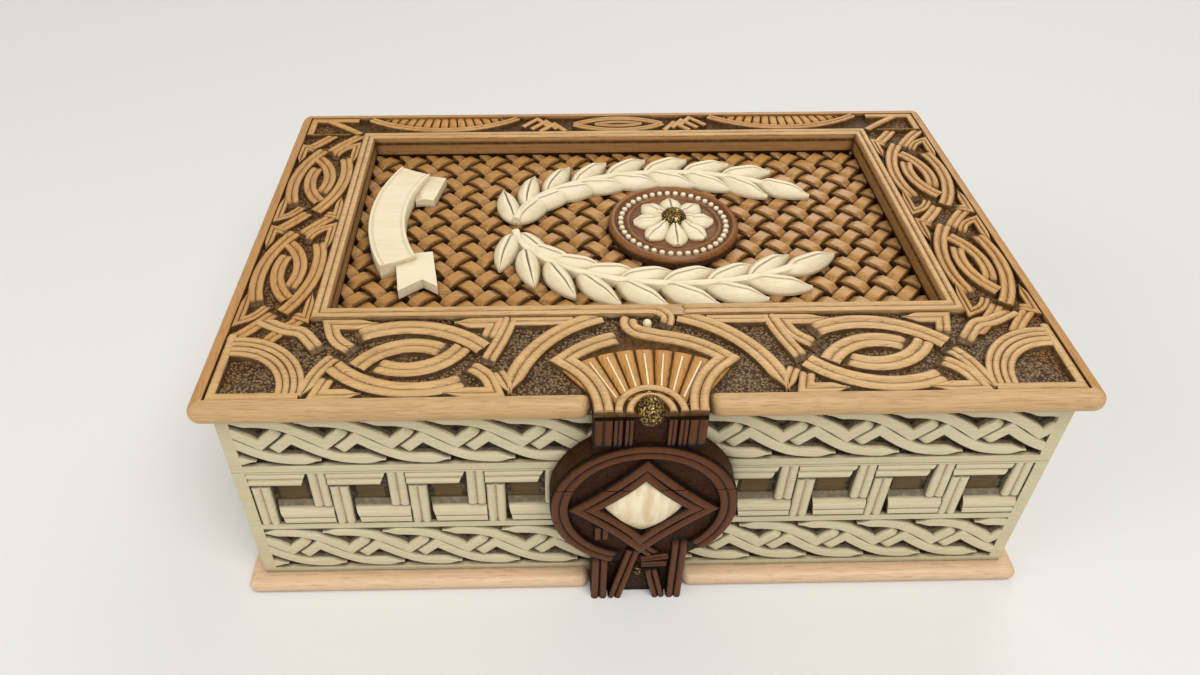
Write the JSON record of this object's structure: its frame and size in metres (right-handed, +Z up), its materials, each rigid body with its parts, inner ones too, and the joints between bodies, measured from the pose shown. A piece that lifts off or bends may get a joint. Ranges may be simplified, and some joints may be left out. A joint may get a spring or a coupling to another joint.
{
  "type": "book box",
  "caption": "Carved wooden keepsake box shaped like a thick book lying flat, with a hinged lid, a sunk woven panel and a carved clasp at the front.",
  "frame": {"origin": "middle of the base board's underside", "axes": "+X along the long side to the right seen from the clasp, +Y from the clasp to the hinges, +Z up"},
  "size_m": [0.3, 0.2025, 0.1054],
  "materials": {
    "cover_wood": "golden brown stain with dark wax in the carving, satin varnish",
    "wall_wood": "pale cream wood with brown wax in the carving, satin",
    "base_wood": "pale pinkish beige wood, satin",
    "tile_wood": "dark brown stain, matt",
    "weave_wood": "golden brown stain with dark gaps, satin varnish",
    "fan_wood": "beige bands and amber flutes, satin varnish",
    "clasp_wood": "dark reddish brown stain, satin varnish",
    "cabochon": "pale cream polished wood, glossy",
    "gilt": "dark gilt with flecks of gold",
    "ribbon_wood": "pale cream wood, satin varnish",
    "laurel_wood": "pale cream wood with brown wax, satin varnish",
    "medallion_wood": "walnut stain, satin varnish",
    "rosette_wood": "pale wood with brown wax, satin varnish",
    "felt": "dark red felt",
    "hinge_brass": "aged brass",
    "magnet": "nickel plated"
  },
  "bodies": {
    "tray": {"base_board": "base_wood", "front_wall": "wall_wood", "back_wall": "wall_wood", "left_wall": "wall_wood", "right_wall": "wall_wood", "front_tiles": "tile_wood", "back_tiles": "tile_wood", "left_tiles": "tile_wood", "right_tiles": "tile_wood", "floor_lining": "felt", "clasp_lower": "clasp_wood", "clasp_diamond": "cabochon", "tail_bead": "gilt", "tray_magnets": "magnet", "left_hinge_tray_leaf": "hinge_brass", "right_hinge_tray_leaf": "hinge_brass", "left_hinge_pin": "hinge_brass", "right_hinge_pin": "hinge_brass", "tray_hinge_screws": "hinge_brass"},
    "lid": {"frame_front": "cover_wood", "frame_back": "cover_wood", "frame_left": "cover_wood", "frame_right": "cover_wood", "weave_panel": "weave_wood", "rim_front": "wall_wood", "rim_back": "wall_wood", "rim_left": "wall_wood", "rim_right": "wall_wood", "fan_shell": "fan_wood", "clasp_upper": "clasp_wood", "clasp_bead": "gilt", "ribbon": "ribbon_wood", "laurel_front": "laurel_wood", "laurel_back": "laurel_wood", "medallion": "medallion_wood", "rosette": "rosette_wood", "rosette_bead": "gilt", "lid_magnets": "magnet", "left_hinge_lid_leaf": "hinge_brass", "right_hinge_lid_leaf": "hinge_brass", "lid_hinge_screws": "hinge_brass"}
  },
  "joints": [
    {"name": "lid_hinge", "type": "hinge", "parent": "tray", "child": "lid", "pos_m": [0, 0.089, 0.0657], "axis": [-1, 0, 0], "range_deg": [0, 95]}
  ]
}
